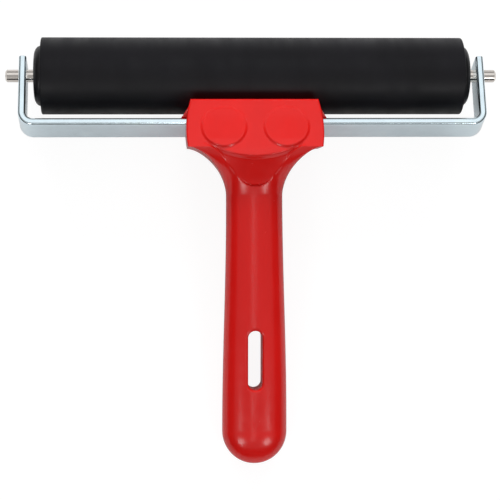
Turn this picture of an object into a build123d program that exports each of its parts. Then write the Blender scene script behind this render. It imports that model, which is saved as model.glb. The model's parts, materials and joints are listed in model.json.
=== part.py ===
from build123d import *

import os
from math import cos, pi, radians, sin, sqrt, tan

# Rubber brayer (ink roller), 200 mm wide: a rubber-covered tube turning on two ball
# bearings, a bent flat-strip frame, and a one-piece red plastic handle.
#
# Three frames are used, all in millimetres with X along the roller:
#   tool frame   origin on the roller's axis, -Y towards the handle, Z square to the strip frame
#   grip frame   origin on the roller's axis, S towards the grip's end, H up out of the grip
#   table frame  the roller and the grip's end rest on Z = 0, origin under the middle of the box

# ---------------------------------------------------------------- driving dimensions
# roller
rubber_radius = 18.25
rubber_length = 200.0
rubber_edge_round = 0.6
tube_outer_radius = 14.25
tube_inner_radius = 12.75
cap_collar_length = 3.4
cap_collar_round = 2.0
cap_spigot_length = 14.0
cap_bore_radius = 5.6

# deep-groove ball bearing, 6 x 19 x 6
bearing_bore_radius = 3.0
bearing_outer_radius = 9.5
bearing_width = 6.0
bearing_recess = 1.2
ball_radius = 1.75
ball_count = 7
ball_pitch_radius = 6.25
inner_ring_radius = 4.9
outer_ring_inner_radius = 7.6
race_clearance = 0.06
cage_half_width = 2.2
cage_thickness = 0.8
shield_thickness = 0.4
shield_clearance = 0.15

# axle and its retaining rings
axle_radius = 3.0
axle_length = 234.0
axle_chamfer = 0.8
groove_depth = 0.6
ring_outer_radius = 4.6
ring_thickness = 0.7
ring_lobe_gap = 1.6

# strip frame
strip_width = 16.0
strip_thickness = 3.5
arm_inner_half_span = 106.9
arm_tip = 7.0
cross_run_back = 28.6
strip_inner_bend = 3.5
strip_edge_round = 0.7
arm_hole_radius = 3.15

# angles: strip frame to grip, and strip frame to table
grip_angle = 21.0
frame_slope = 15.5

# hood, its plan in the grip frame and its heights in the tool frame
hood_front_half_width = 29.9
hood_middle_half_width = 32.0
hood_back_half_width = 31.3
hood_middle = 26.5
hood_back = 35.3
hood_front = -19.0
face_height = 15.4
face_rise_angle = 4.0
hood_floor = -12.0
front_wall_lean = 2.6
hood_edge_round = 1.0
apron_half_width = 34.6
apron_shoulder = 8.6
apron_back = -25.1
apron_edge_round = 0.6
apron_top_drop = 0.5

# round pads on the hood
pad_radius = 9.5
pad_base_radius = 10.8
pad_height = 1.0
pad_offset = 14.5
pad_back = -33.3

# thumb scoop, in the grip frame
scoop_centre = 17.4
scoop_lip_radius = 22.3
scoop_end_radius = 35.9
scoop_half_width = 14.0
scoop_wall_drop = 3.5
scoop_foot_height = 27.4
scoop_foot_step = 3.6
scoop_end_height = 24.2
scoop_wall_lean = 0.15

# shoulders and grip, in the grip frame
shoulder_start = 34.9
shoulder_half_width = 30.9
shoulder_end = 57.0
shoulder_power = 1.7
shoulder_top = 31.2
shoulder_bottom = 0.6
shoulder_squareness = 5.0
neck_squareness = 2.4
end_squareness = 2.0
neck_half_width = 13.25
neck_half_depth = 10.15
neck_height = 14.05
grip_end = 168.5
grip_end_length = 15.6
grip_half_width = 15.28
grip_half_depth = 10.25
grip_bow = 2.2
shoulder_steps = 7
grip_steps = 7
dome_steps = 7
dome_last_angle = 86.0

# hanging slot
slot_width = 6.8
slot_length = 28.0
slot_centre = 134.5
slot_rim_round = 1.3

# rear clamp plate and its two screws
plate_half_width = 29.0
plate_back_half_width = 18.5
plate_front = -23.4
plate_corner = -31.5
plate_back = -39.4
plate_corner_round = 2.0
plate_thickness = 3.0
plate_gap = 0.25
screw_radius = 1.9
screw_head_radius = 3.7
screw_head_depth = 2.2
screw_length = 19.0
screw_end_space = 3.0
screw_cross_length = 4.0
screw_cross_width = 0.9
screw_cross_depth = 1.1

cut_through = 60.0
overlap = 1.0


# ---------------------------------------------------------------- frames
def ease(t):
    """Smooth step from 0 to 1 with level ends."""
    return 0.5 - 0.5 * cos(pi * min(max(t, 0.0), 1.0))


def end_height():
    """Height of the grip end's centre that sets the end's lowest point on the table."""
    slope = radians(grip_angle - frame_slope)
    support = sqrt((grip_end_length * sin(slope)) ** 2 + (grip_half_depth * cos(slope)) ** 2)
    return (support - rubber_radius + grip_end * sin(slope)) / cos(slope)


grip_end_height = end_height()
from_grip = Location((0, 0, 0), (grip_angle, 0, 0))


def grip_plane(s):
    """Section plane across the grip at distance s, its x along X and its y along H."""
    return Plane(origin=(0, -s, 0), x_dir=(1, 0, 0), z_dir=(0, -1, 0))


def x_cylinder(radius, start, end):
    """A round bar along X from start to end."""
    return Location((start, 0, 0), (0, 90, 0)) * upright_cylinder(radius, end - start)


def upright_cylinder(radius, height):
    """A round bar standing on its plane."""
    return Cylinder(radius, height, align=(Align.CENTER, Align.CENTER, Align.MIN))


def upright_cone(base_radius, top_radius, height):
    """A cut-off cone standing on its plane."""
    align = (Align.CENTER, Align.CENTER, Align.MIN)
    return Cone(base_radius, top_radius, height, align=align)


def x_ring(outer, inner, start, end):
    """A round sleeve along X from start to end."""
    return x_cylinder(outer, start, end) - x_cylinder(inner, start - overlap, end + overlap)


# ---------------------------------------------------------------- roller
def rubber_cover():
    sleeve = x_cylinder(rubber_radius, -rubber_length / 2, rubber_length / 2)
    rims = sleeve.edges().filter_by(GeomType.CIRCLE)
    sleeve = fillet(rims, rubber_edge_round)
    return sleeve - x_cylinder(tube_outer_radius, -rubber_length, rubber_length)


def core_tube():
    return x_ring(tube_outer_radius, tube_inner_radius, -rubber_length / 2, rubber_length / 2)


def end_cap():
    """Right-hand cap: a collar over the tube's end and a spigot with the bearing seat."""
    face = rubber_length / 2
    outside = face + cap_collar_length
    collar = x_cylinder(tube_outer_radius, face, outside)
    rim = collar.edges().filter_by(GeomType.CIRCLE).sort_by(Axis.X)[-1]
    collar = fillet(rim, cap_collar_round)
    spigot = x_cylinder(tube_inner_radius, face - cap_spigot_length, face)
    seat_back = outside - bearing_recess - bearing_width
    cap = collar + spigot
    cap -= x_cylinder(bearing_outer_radius, seat_back, outside + overlap)
    return cap - x_cylinder(cap_bore_radius, face - cap_spigot_length - overlap, outside)


# ---------------------------------------------------------------- bearing
bearing_outside = rubber_length / 2 + cap_collar_length - bearing_recess
bearing_middle = bearing_outside - bearing_width / 2
race_radius = ball_radius + race_clearance


def race_groove():
    """The doughnut that both rings lose, a little larger than the balls."""
    return Location((bearing_middle, 0, 0), (0, 90, 0)) * Torus(ball_pitch_radius, race_radius)


def outer_ring():
    start = bearing_middle - bearing_width / 2
    ring = x_ring(bearing_outer_radius, outer_ring_inner_radius, start, start + bearing_width)
    return ring - race_groove()


def inner_ring():
    start = bearing_middle - bearing_width / 2
    ring = x_ring(inner_ring_radius, bearing_bore_radius, start, start + bearing_width)
    return ring - race_groove()


def ball_places():
    for turn in range(ball_count):
        angle = 2 * pi * turn / ball_count
        yield Location((bearing_middle, ball_pitch_radius * cos(angle), ball_pitch_radius * sin(angle)))


def balls():
    return Compound(children=[place * Sphere(ball_radius) for place in ball_places()])


def cage():
    """A thin ring between the races with one round pocket for each ball."""
    ring = x_ring(
        ball_pitch_radius + cage_thickness / 2,
        ball_pitch_radius - cage_thickness / 2,
        bearing_middle - cage_half_width,
        bearing_middle + cage_half_width,
    )
    for place in ball_places():
        ring -= place * Sphere(race_radius)
    return ring


def shields():
    """Two thin washers snapped into the outer ring, clear of the inner ring."""
    washers = []
    for side in (-1, 1):
        middle = bearing_middle + side * (bearing_width - shield_thickness) / 2
        start = middle - shield_thickness / 2
        bore = inner_ring_radius + shield_clearance
        washers.append(x_ring(outer_ring_inner_radius, bore, start, start + shield_thickness))
    return Compound(children=washers)


# ---------------------------------------------------------------- axle
def axle():
    half = axle_length / 2
    bar = x_cylinder(axle_radius, -half, half)
    bar = chamfer(bar.edges().filter_by(GeomType.CIRCLE), axle_chamfer)
    for side in (-1, 1):
        groove_start = bearing_outside if side > 0 else -bearing_outside - ring_thickness
        groove_end = groove_start + ring_thickness
        bar -= x_ring(axle_radius + overlap, axle_radius - groove_depth, groove_start, groove_end)
    return bar


def retaining_ring():
    """E-shaped ring: three inner lobes seat in the axle's groove, open on one side."""
    start = bearing_outside
    end = start + ring_thickness
    ring = x_ring(ring_outer_radius, axle_radius, start, end)
    lobes = x_ring(axle_radius, axle_radius - groove_depth, start, end)
    relief = Box(ring_thickness * 3, ring_lobe_gap, ring_outer_radius * 3)
    ring += lobes - Location((start, 0, 0), (45, 0, 0)) * relief
    mouth = Box(ring_thickness * 3, 2 * (axle_radius - groove_depth), ring_outer_radius * 2)
    return ring - Location((start, 0, -ring_outer_radius)) * mouth


# ---------------------------------------------------------------- strip frame
def strip_frame():
    """Flat strip bent on the flat into a square U, drilled near both tips for the axle."""
    outer_half_span = arm_inner_half_span + strip_thickness
    outer_bend = strip_inner_bend + strip_thickness
    height = arm_tip + cross_run_back
    middle = (arm_tip - cross_run_back) / 2
    outer = Pos(0, middle) * Rectangle(2 * outer_half_span, height)
    outer = fillet(outer.vertices().group_by(Axis.Y)[0], outer_bend)
    inner = Pos(0, middle + strip_thickness) * Rectangle(2 * arm_inner_half_span, height)
    inner = fillet(inner.vertices().group_by(Axis.Y)[0], strip_inner_bend)
    strip = extrude(outer - inner, strip_width / 2, both=True)
    long_edges = [e for e in strip.edges() if abs(abs(e.center().Z) - strip_width / 2) < 0.01]
    long_edges = [e for e in long_edges if e.center().Y < arm_tip - 0.01]
    strip = fillet(long_edges, strip_edge_round)
    return strip - x_cylinder(arm_hole_radius, -axle_length, axle_length)


# ---------------------------------------------------------------- handle
def grip_point(y, z):
    """The grip frame's S and H of a point in the tool frame's YZ plane."""
    turn = radians(grip_angle)
    return -y * cos(turn) - z * sin(turn), -y * sin(turn) + z * cos(turn)


def side_profile(points, half_width):
    """A prism across X whose outline is given as points of Y and height."""
    outline = make_face(Polyline(*points, close=True))
    sheet = Plane(origin=(0, 0, 0), x_dir=(0, 1, 0), z_dir=(1, 0, 0)) * outline
    return extrude(sheet, half_width, both=True)


def face_level(y):
    """Height of the hood's face at y: it climbs gently towards the lip."""
    return face_height + (hood_front - y) * tan(radians(face_rise_angle))


def front_wall(z):
    """Distance of the hood's roller-side wall at height z: it leans back below the face."""
    return hood_front - front_wall_lean * (face_height - z) / face_height


face_front_s, face_front_h = grip_point(hood_front, face_height)
face_climb = tan(radians(grip_angle + face_rise_angle))


def face_height_at(s):
    """Height of the hood's face above the grip frame's S axis."""
    return face_front_h + (s - face_front_s) * face_climb


def hood():
    """The block over the strip: a barrel-sided plan under a gently climbing face."""
    front_corner = (hood_front_half_width, -face_front_s)
    middle = (hood_middle_half_width, -hood_middle)
    back_corner = (hood_back_half_width, -hood_back)
    right = ThreePointArc(front_corner, middle, back_corner)
    back = Line(back_corner, (-hood_back_half_width, -hood_back))
    left = mirror(right, about=Plane.YZ)
    front = Line((-hood_front_half_width, -face_front_s), front_corner)
    plan = make_face([front, right, back, left])
    block = extrude(plan, cut_through, both=True)
    floor_front_s, floor_front_h = grip_point(front_wall(hood_floor), hood_floor)
    floor_climb = tan(radians(grip_angle))
    outline = [
        (-face_front_s, face_front_h),
        (-floor_front_s, floor_front_h),
        (-hood_back, floor_front_h + (hood_back - floor_front_s) * floor_climb),
        (-hood_back, face_height_at(hood_back)),
    ]
    block &= side_profile(outline, cut_through)
    joined = block.edges().group_by(Axis.Y)[0]
    crisp = [edge for edge in block.edges() if edge not in joined]
    return from_grip * fillet(crisp, hood_edge_round)


def lip():
    """The face's rounded lip, standing out over the thumb scoop."""
    disc = Pos(0, -scoop_centre, neck_height) * upright_cylinder(scoop_lip_radius, cut_through)
    lip_end = scoop_centre + scoop_lip_radius + overlap
    start = hood_back - overlap
    outline = [
        (-start, neck_height),
        (-lip_end, neck_height),
        (-lip_end, face_height_at(lip_end)),
        (-start, face_height_at(start)),
    ]
    disc &= side_profile(outline, cut_through)
    return from_grip * disc


def apron():
    """The wall between the strip and the roller, wider than the face at the strip's level."""
    outline = Polyline(
        (-hood_front_half_width, face_height - apron_top_drop),
        (-apron_half_width, apron_shoulder),
        (-apron_half_width, hood_floor),
        (apron_half_width, hood_floor),
        (apron_half_width, apron_shoulder),
        (hood_front_half_width, face_height - apron_top_drop),
        close=True,
    )
    sheet = Plane.XZ * make_face(outline)
    plate = extrude(sheet, cut_through, both=True)
    profile = [
        (front_wall(face_height), face_level(hood_front) - apron_top_drop),
        (front_wall(hood_floor), hood_floor),
        (apron_back, hood_floor),
        (apron_back, face_level(hood_front) - apron_top_drop),
    ]
    plate &= side_profile(profile, cut_through)
    front = [edge for edge in plate.edges() if edge.center().Y > apron_back + apron_edge_round]
    return fillet(front, apron_edge_round)


def section_sizes(s):
    """Half width, centre height, half depth and squareness of the handle's section at s."""
    if s < shoulder_end:
        along = (shoulder_end - s) / (shoulder_end - shoulder_start)
        fall = (1 - along**shoulder_power) ** (1 / shoulder_power)
        width = shoulder_half_width - (shoulder_half_width - neck_half_width) * fall
        blend = ease(1 - along)
        top = shoulder_top + (neck_height + neck_half_depth - shoulder_top) * blend
        bottom = shoulder_bottom + (neck_height - neck_half_depth - shoulder_bottom) * blend
        squareness = shoulder_squareness + (neck_squareness - shoulder_squareness) * blend
        return width, (top + bottom) / 2, (top - bottom) / 2, squareness
    along = (s - shoulder_end) / (grip_end - shoulder_end)
    width = neck_half_width + (grip_half_width - neck_half_width) * ease(along)
    depth = neck_half_depth + (grip_half_depth - neck_half_depth) * along
    height = neck_height + (grip_end_height - neck_height) * along + grip_bow * sin(pi * along)
    squareness = neck_squareness + (end_squareness - neck_squareness) * along
    return width, height, depth, squareness


def section(s, shrink=1.0, point_count=24):
    """Closed superellipse outline across the handle at s, smaller by shrink in the end's dome."""
    width, height, depth, power = section_sizes(min(s, grip_end))
    width *= shrink
    depth *= shrink
    points = []
    for index in range(point_count):
        angle = 2 * pi * index / point_count
        x = abs(cos(angle)) ** (2 / power) * (1 if cos(angle) > 0 else -1)
        h = abs(sin(angle)) ** (2 / power) * (1 if sin(angle) > 0 else -1)
        points.append((width * x, height + depth * h))
    return grip_plane(s) * make_face(Spline(*points, periodic=True))


def shoulders_and_grip():
    """One loft from the hood's back edge to the grip's end, closed by a half-ellipsoid dome."""
    stations = []
    for index in range(shoulder_steps):
        quarter = 0.5 * pi * index / shoulder_steps
        stations.append(shoulder_start + (shoulder_end - shoulder_start) * (1 - cos(quarter)))
    for index in range(grip_steps):
        stations.append(shoulder_end + (grip_end - shoulder_end) * index / grip_steps)
    rings = [section(s) for s in stations]
    for index in range(dome_steps):
        quarter = radians(dome_last_angle) * index / (dome_steps - 1)
        rings.append(section(grip_end + grip_end_length * sin(quarter), cos(quarter)))
    return from_grip * loft(rings)


def scoop():
    """What the thumb scoop removes: outside a bell shape centred under the face."""
    lip_height = face_height_at(scoop_centre + scoop_lip_radius)
    sky = lip_height + cut_through
    wall_top = (scoop_lip_radius, sky)
    wall_foot = (scoop_lip_radius, lip_height - scoop_wall_drop)
    bell_foot = (scoop_lip_radius + scoop_foot_step, scoop_foot_height)
    bell_end = (scoop_end_radius, scoop_end_height)
    bell = Spline(wall_foot, bell_foot, bell_end, tangents=((scoop_wall_lean, -1), (1, 0)))
    outside = Line(bell_end, (scoop_end_radius, sky))
    top = Line((scoop_end_radius, sky), wall_top)
    ring = revolve(Plane.XZ * make_face([Line(wall_top, wall_foot), bell, outside, top]), Axis.Z)
    keep = Rectangle(2 * scoop_half_width, cut_through, align=(Align.CENTER, Align.MAX))
    keep = extrude(Pos(0, scoop_centre - hood_back) * keep, 2 * cut_through)
    return from_grip * Pos(0, -scoop_centre, 0) * (ring & keep)


def pads():
    """Two low round pads with sloping rims on the hood's face."""
    pad = upright_cone(pad_base_radius, pad_radius, pad_height + overlap)
    lean = Rotation(-face_rise_angle, 0, 0)
    level = face_level(pad_back) - overlap
    return [Pos(side * pad_offset, pad_back, level) * lean * pad for side in (-1, 1)]


def hang_slot():
    _, height, _, _ = section_sizes(slot_centre)
    outline = SlotOverall(slot_length, slot_width, rotation=90)
    return from_grip * Pos(0, -slot_centre, height) * extrude(outline, cut_through, both=True)


def slot_rims(body):
    """The edges round both mouths of the hanging slot."""
    _, height, depth, _ = section_sizes(slot_centre)
    rims = []
    for edge in body.edges():
        place = (from_grip.inverse() * Pos(edge.center())).position
        in_width = abs(place.X) < (slot_width + overlap) / 2
        in_length = abs(-place.Y - slot_centre) < (slot_length + overlap) / 2
        if in_width and in_length and abs(place.Z - height) > depth / 2:
            rims.append(edge)
    return rims


def handle():
    body = hood() + apron() + lip() + (shoulders_and_grip() - scoop())
    for pad in pads():
        body += pad
    channel = Box(cut_through * 2, strip_thickness, strip_width / 2 - hood_floor + overlap)
    channel_middle = (strip_width / 2 + hood_floor - overlap) / 2
    body -= Pos(0, -cross_run_back + strip_thickness / 2, channel_middle) * channel
    recess = -strip_width / 2 - hood_floor
    body -= Pos(0, 0, -strip_width / 2) * extrude(plate_outline(plate_gap), -2 * recess)
    for side in (-1, 1):
        pilot = upright_cylinder(screw_radius, screw_length)
        body -= Pos(side * pad_offset, pad_back, -strip_width / 2) * pilot
    body -= hang_slot()
    return fillet(slot_rims(body), slot_rim_round)


# ---------------------------------------------------------------- clamp
def plate_outline(gap):
    """Plan of the clamp plate: a bar whose back corners are cut away under the shoulders."""
    half = plate_half_width + gap
    half_back = plate_back_half_width + gap
    outline = Polyline(
        (-half, plate_front + gap),
        (half, plate_front + gap),
        (half, plate_corner - gap),
        (half_back, plate_back - gap),
        (-half_back, plate_back - gap),
        (-half, plate_corner - gap),
        close=True,
    )
    outline = make_face(outline)
    return fillet(outline.vertices(), plate_corner_round)


def rear_clamp_plate():
    """Flat bar let into the hood's underside, pressing the strip into its channel."""
    plate = Pos(0, 0, -strip_width / 2) * extrude(plate_outline(0), -plate_thickness)
    for side in (-1, 1):
        place = Pos(side * pad_offset, pad_back, -strip_width / 2 - plate_thickness)
        sink = upright_cone(screw_head_radius, screw_radius, screw_head_depth)
        hole = Cylinder(screw_radius, plate_thickness * 2)
        plate -= place * (sink + hole)
    return plate


def clamp_screws():
    """Two countersunk self-tapping screws, each with a cross recess."""
    screws = []
    for side in (-1, 1):
        head = upright_cone(screw_head_radius, screw_radius, screw_head_depth)
        shank = upright_cylinder(screw_radius, plate_thickness + screw_length - screw_end_space)
        cross = Box(screw_cross_length, screw_cross_width, 2 * screw_cross_depth)
        cross += Box(screw_cross_width, screw_cross_length, 2 * screw_cross_depth)
        place = Pos(side * pad_offset, pad_back, -strip_width / 2 - plate_thickness)
        screws.append(place * (head + shank - cross))
    return Compound(children=screws)


# ---------------------------------------------------------------- assembly
def mirrored(shape):
    return mirror(shape, about=Plane.YZ)


pieces = {
    "handle": handle(),
    "rear_clamp_plate": rear_clamp_plate(),
    "clamp_screws": clamp_screws(),
    "frame_strip": strip_frame(),
    "axle": axle(),
    "rubber_cover": rubber_cover(),
    "core_tube": core_tube(),
}
paired_pieces = {
    "end_cap": end_cap(),
    "bearing_outer_ring": outer_ring(),
    "bearing_inner_ring": inner_ring(),
    "bearing_balls": balls(),
    "bearing_cage": cage(),
    "bearing_shields": shields(),
    "retaining_ring": retaining_ring(),
}
for name, shape in paired_pieces.items():
    pieces[name + "_right"] = shape
    pieces[name + "_left"] = mirrored(shape)

# Stand the tool on the table, then bring the middle of its box over the origin.
stand = Location((0, 0, rubber_radius), (-frame_slope, 0, 0))
grip_tip = (stand * pieces["handle"]).bounding_box().min.Y
axis_y = -(rubber_radius + grip_tip) / 2
middle_shift = Location((0, axis_y, 0))
print("roller axis at Y", axis_y, "Z", rubber_radius)

os.makedirs("parts", exist_ok=True)
for name, shape in pieces.items():
    export_step(middle_shift * stand * shape, "parts/" + name + ".step")
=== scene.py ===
"""Looks for a rubber brayer: a hard rubber roller in a bent strip frame with a red handle.

Laid out as an add-on: sizes and colours are properties, each group of pieces has its operator,
and a panel in the 3D view's sidebar lists them. All shapes are worked out in millimetres in one
of three frames (grip, tool, table) and written to the meshes in metres.
"""

import json
from math import cos, pi, radians, sin, sqrt, tan

import bpy
import numpy as np
from mathutils import Matrix, Vector


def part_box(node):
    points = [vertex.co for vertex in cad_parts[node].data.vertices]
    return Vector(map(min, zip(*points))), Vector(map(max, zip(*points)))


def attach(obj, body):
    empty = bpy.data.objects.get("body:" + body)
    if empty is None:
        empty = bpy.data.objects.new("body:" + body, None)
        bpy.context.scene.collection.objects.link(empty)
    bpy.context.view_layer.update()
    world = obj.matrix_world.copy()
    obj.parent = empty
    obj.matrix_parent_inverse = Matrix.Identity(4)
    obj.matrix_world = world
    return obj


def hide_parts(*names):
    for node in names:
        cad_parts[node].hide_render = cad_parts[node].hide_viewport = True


bl_info = {
    "name": "Rubber brayer",
    "version": (1, 0, 0),
    "blender": (4, 5, 0),
    "location": "View3D > Sidebar > Brayer",
    "description": "Builds the visible surfaces and finishes of a rubber brayer",
    "category": "Mesh",
}

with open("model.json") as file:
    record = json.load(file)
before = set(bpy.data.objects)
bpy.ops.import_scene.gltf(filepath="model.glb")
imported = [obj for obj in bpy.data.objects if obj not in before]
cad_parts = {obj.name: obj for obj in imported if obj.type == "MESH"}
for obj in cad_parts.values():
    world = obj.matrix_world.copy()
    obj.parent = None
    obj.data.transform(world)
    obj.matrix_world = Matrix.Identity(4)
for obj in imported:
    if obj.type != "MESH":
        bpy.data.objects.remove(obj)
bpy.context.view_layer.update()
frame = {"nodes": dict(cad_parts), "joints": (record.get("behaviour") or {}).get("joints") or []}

MM = 0.001
SPIN = next(joint for joint in frame["joints"] if joint["name"] == "roller_spin")
AXIS_Y = SPIN["pos_m"][1] / MM
AXIS_Z = SPIN["pos_m"][2] / MM
FRAME_SLOPE = radians(15.5)
GRIP_ANGLE = radians(21.0)
FACE_CLIMB = radians(25.0)  # the hood's face against the grip's line


# ---------------------------------------------------------------- frames and meshes
def tool_to_table(x, y, z):
    """Tool frame to table frame, in metres: a turn about the roller's axis, then a lift to it."""
    depth = y * cos(FRAME_SLOPE) + z * sin(FRAME_SLOPE) + AXIS_Y
    height = -y * sin(FRAME_SLOPE) + z * cos(FRAME_SLOPE) + AXIS_Z
    return np.stack(np.broadcast_arrays(x, depth, height), axis=-1) * MM


def grip_to_table(x, s, h):
    """Grip frame (S towards the grip's end, H up out of it) to table frame, in metres."""
    y = -(s * cos(GRIP_ANGLE) + h * sin(GRIP_ANGLE))
    z = -s * sin(GRIP_ANGLE) + h * cos(GRIP_ANGLE)
    return tool_to_table(x, y, z)


def smooth_step(low, high, value):
    """0 below low, 1 above high, and between them the cubic 3t^2 - 2t^3, which has level ends."""
    t = np.clip((value - low) / (high - low), 0.0, 1.0)
    return t * t * (3.0 - 2.0 * t)


def ease(t):
    """Half a cosine wave from 0 to 1."""
    return 0.5 - 0.5 * np.cos(pi * np.clip(t, 0.0, 1.0))


def soft_min(a, b, width):
    """The lower of a and b, with their corner rounded over about width."""
    blend = np.clip(0.5 + 0.5 * (b - a) / width, 0.0, 1.0)
    return b + (a - b) * blend - width * blend * (1.0 - blend)


def grid_faces(rows, columns, closed_rows):
    """Quads between neighbouring points of a grid whose columns wrap round, and its rows if closed."""
    i = np.arange(rows if closed_rows else rows - 1)
    i, j = (a.ravel() for a in np.meshgrid(i, np.arange(columns), indexing="ij"))
    near, far = i * columns, (i + 1) % rows * columns
    beside = (j + 1) % columns
    return np.stack([near + j, far + j, far + beside, near + beside], 1)


def surface(name, points, closed_rows=False, pole_caps=False):
    """A mesh object from a grid of points; pole_caps closes its two ends with fans."""
    rows, columns, _ = points.shape
    vertices = points.reshape(-1, 3)
    faces = grid_faces(rows, columns, closed_rows).tolist()
    if pole_caps:
        first, last = len(vertices), len(vertices) + 1
        vertices = np.vstack([vertices, points[0].mean(axis=0), points[-1].mean(axis=0)])
        around = np.arange(columns)
        after = (around + 1) % columns
        base = (rows - 1) * columns
        faces += np.stack([np.full(columns, first), around, after], 1).tolist()
        faces += np.stack([base + after, base + around, np.full(columns, last)], 1).tolist()
    mesh = bpy.data.meshes.new(name)
    mesh.from_pydata(vertices.tolist(), [], faces)
    mesh.validate()
    point_outwards(mesh)
    smooth(mesh, 35)
    piece = bpy.data.objects.new(name, mesh)
    bpy.context.scene.collection.objects.link(piece)
    return piece


def smooth(mesh, sharpest):
    """Smooth shading, except over edges that turn by more than sharpest degrees."""
    mesh.shade_smooth()
    mesh.set_sharp_from_angle(angle=radians(sharpest))


def point_outwards(mesh):
    """Turns a closed mesh's faces outwards if its signed volume is negative."""
    mesh.calc_loop_triangles()
    corners = np.empty(len(mesh.loop_triangles) * 3, dtype=np.int32)
    mesh.loop_triangles.foreach_get("vertices", corners)
    places = np.empty(len(mesh.vertices) * 3)
    mesh.vertices.foreach_get("co", places)
    a, b, c = places.reshape(-1, 3)[corners.reshape(-1, 3)].transpose(1, 0, 2)
    if np.einsum("ij,ij->", a, np.cross(b, c)) < 0:
        mesh.flip_normals()


def dress(piece, body, material, slot, *nodes):
    """Rides a piece on its body, gives it its finish and hides the CAD nodes it stands for."""
    piece.data.materials.clear()
    piece.data.materials.append(material)
    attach(piece, body)
    if nodes:
        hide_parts(*nodes)
    return piece


def cut(piece, cutter):
    """Takes a closed cutter out of a piece and applies the result to its mesh."""
    tool = piece.modifiers.new("cut", "BOOLEAN")
    tool.operation = "DIFFERENCE"
    tool.solver = "EXACT"
    tool.object = cutter
    bpy.context.view_layer.update()
    mesh = bpy.data.meshes.new_from_object(piece.evaluated_get(bpy.context.evaluated_depsgraph_get()))
    piece.modifiers.clear()
    old = piece.data
    piece.data = mesh
    bpy.data.meshes.remove(old)
    bpy.data.objects.remove(cutter)
    smooth(mesh, 40)
    return piece


def arc(centre, radius, start, end, count):
    """Points of a circular arc in a plane, from the start angle to the end angle in degrees."""
    angle = np.radians(np.linspace(start, end, count))
    return np.stack([centre[0] + radius * np.cos(angle), centre[1] + radius * np.sin(angle)], 1)


def rounded_box_outline(width, height, radius, corner_points, side_steps):
    """A closed rectangle about its centre: an arc at each corner and even steps along each side."""
    half_w, half_h = width / 2 - radius, height / 2 - radius
    corners = [(half_w, -half_h, -90), (half_w, half_h, 0), (-half_w, half_h, 90), (-half_w, -half_h, 180)]
    arcs = [arc((x, y), radius, start, start + 90, corner_points) for x, y, start in corners]
    share = np.linspace(0, 1, side_steps + 1)[1:-1, None]
    outline = []
    for part, following in zip(arcs, arcs[1:] + arcs[:1]):
        outline += [part, part[-1] * (1 - share) + following[0] * share]
    return np.vstack(outline)


def revolve_about_roller(name, profile, turns):
    """A closed profile of (X, radius) carried round the roller's axis."""
    angle = np.linspace(0, 2 * pi, turns, endpoint=False)[:, None]
    x = np.broadcast_to(profile[:, 0], (turns, len(profile)))
    points = tool_to_table(x, profile[:, 1] * np.cos(angle), profile[:, 1] * np.sin(angle))
    return surface(name, points, closed_rows=True)


def round_corners(corners, radius, count):
    """A flat outline with every corner swapped for a short curve through its two tangent points."""
    rounded = []
    for before, corner, after in zip(np.roll(corners, 1, 0), corners, np.roll(corners, -1, 0)):
        to_before = (before - corner) / np.linalg.norm(before - corner)
        to_after = (after - corner) / np.linalg.norm(after - corner)
        start, end = corner + to_before * radius, corner + to_after * radius
        t = np.linspace(0, 1, count)[:, None]
        rounded.append((1 - t) ** 2 * start + 2 * t * (1 - t) * corner + t**2 * end)
    return np.vstack(rounded)


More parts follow.
